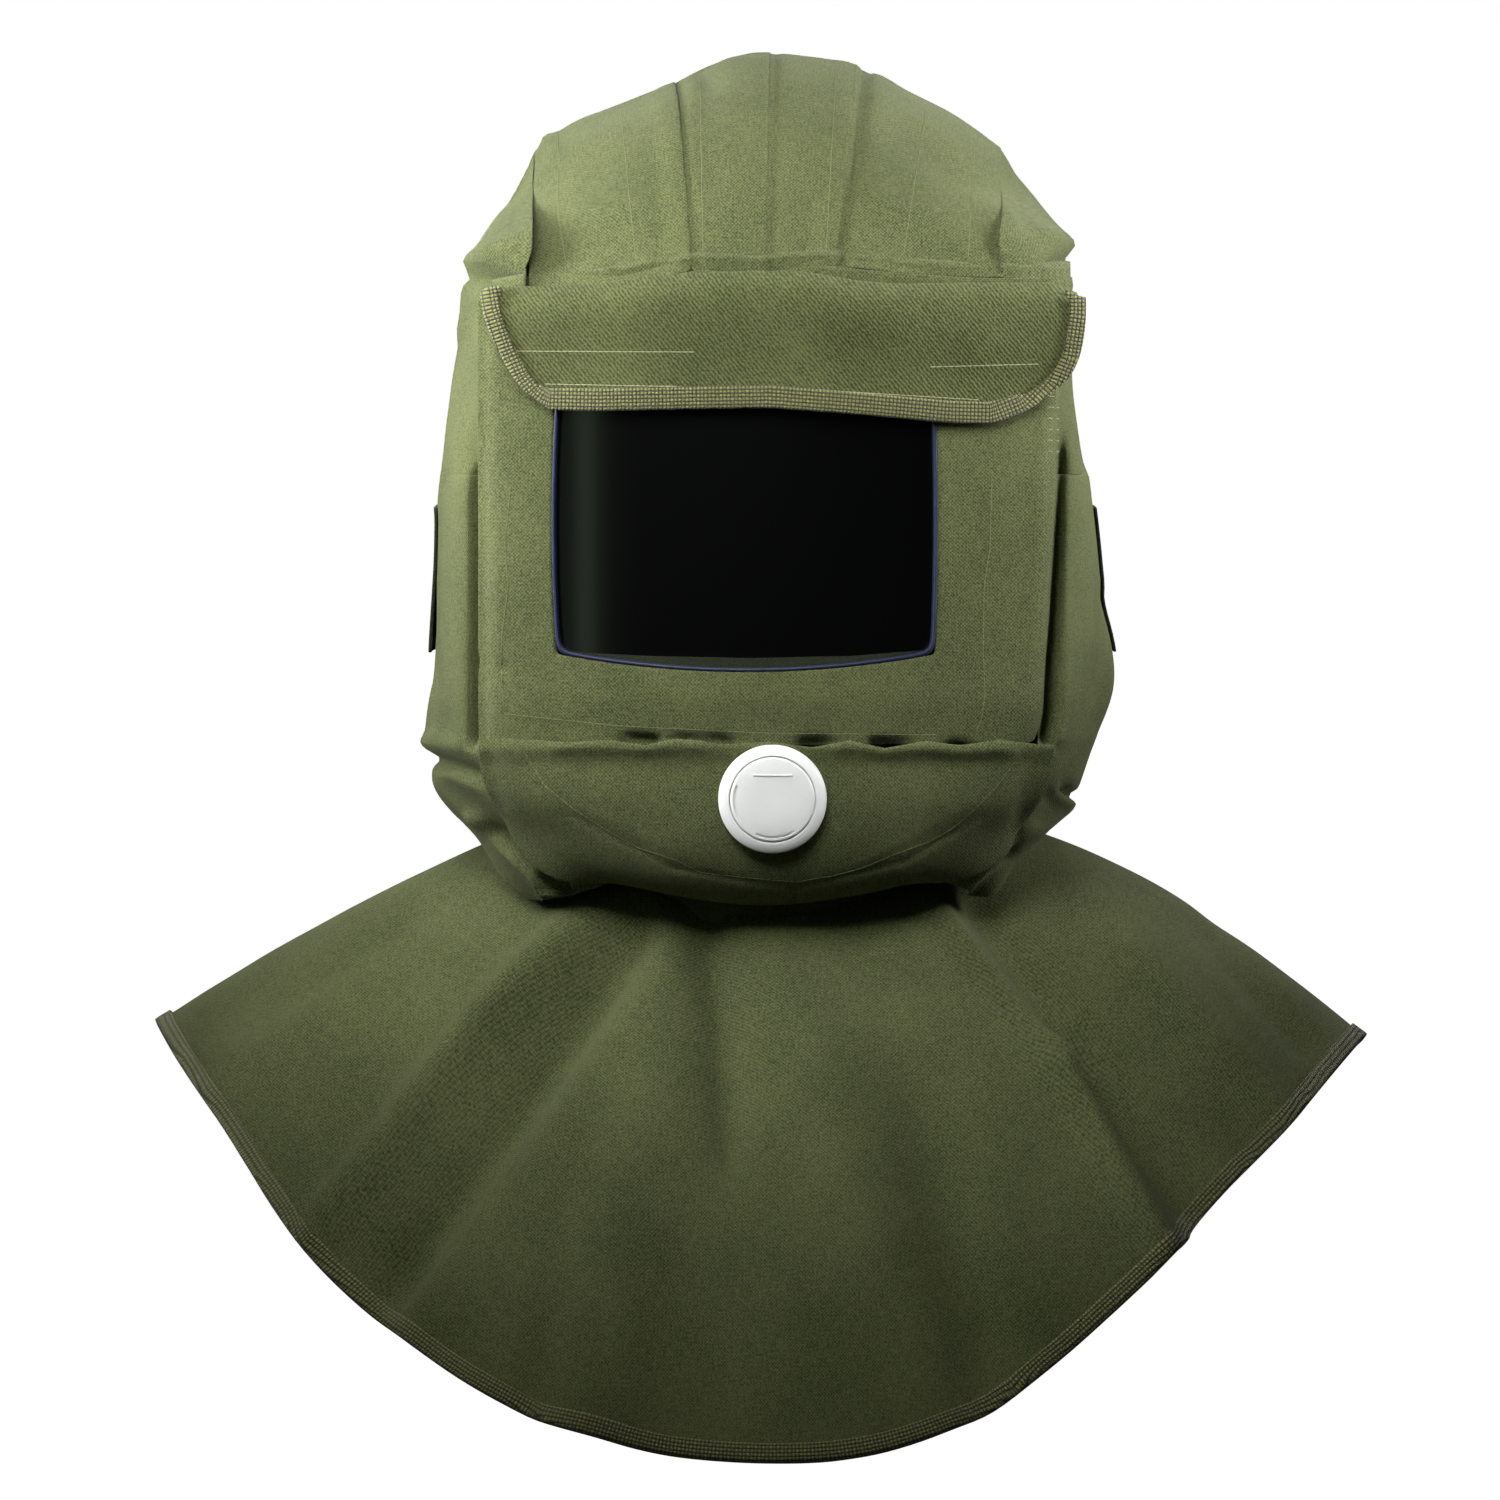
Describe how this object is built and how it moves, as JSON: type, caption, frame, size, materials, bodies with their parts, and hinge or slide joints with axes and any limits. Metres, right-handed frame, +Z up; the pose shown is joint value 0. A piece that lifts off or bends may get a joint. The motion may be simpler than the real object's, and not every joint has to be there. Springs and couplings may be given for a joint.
{
  "type": "sandblasting hood",
  "caption": "Olive canvas blasting hood with a dark curved window, a flap over it, a white breathing valve and a shoulder cape.",
  "frame": {"origin": "where the crown of the head sits, at the inside top of the crown", "axes": "+Z up, the face and window look along -Y, +X to the right in the front view"},
  "size_m": [0.5238, 0.4578, 0.5861],
  "materials": {
    "canvas": "matt",
    "twill": "matt",
    "tape": "satin",
    "dark_cloth": "matt",
    "navy_edge": "satin",
    "dark_lens": "gloss",
    "white_plastic": "satin"
  },
  "bodies": {
    "root": {"crown_gore_left_outer": "canvas", "crown_gore_left_inner": "canvas", "crown_gore_right_inner": "canvas", "crown_gore_right_outer": "canvas", "side_upper_left": "canvas", "side_upper_right": "canvas", "side_lower_left": "canvas", "side_lower_right": "canvas", "back_panel": "canvas", "brow_roll": "canvas", "face_panel": "canvas", "window_trim": "navy_edge", "lens": "dark_lens", "window_flap": "twill", "flap_binding": "tape", "chin_panel": "canvas", "valve_base": "white_plastic", "valve_cap": "white_plastic", "valve_nut": "white_plastic", "ear_flap_left": "dark_cloth", "ear_flap_right": "dark_cloth", "neck_band": "canvas", "cape": "canvas", "cape_binding": "tape"}
  },
  "joints": []
}
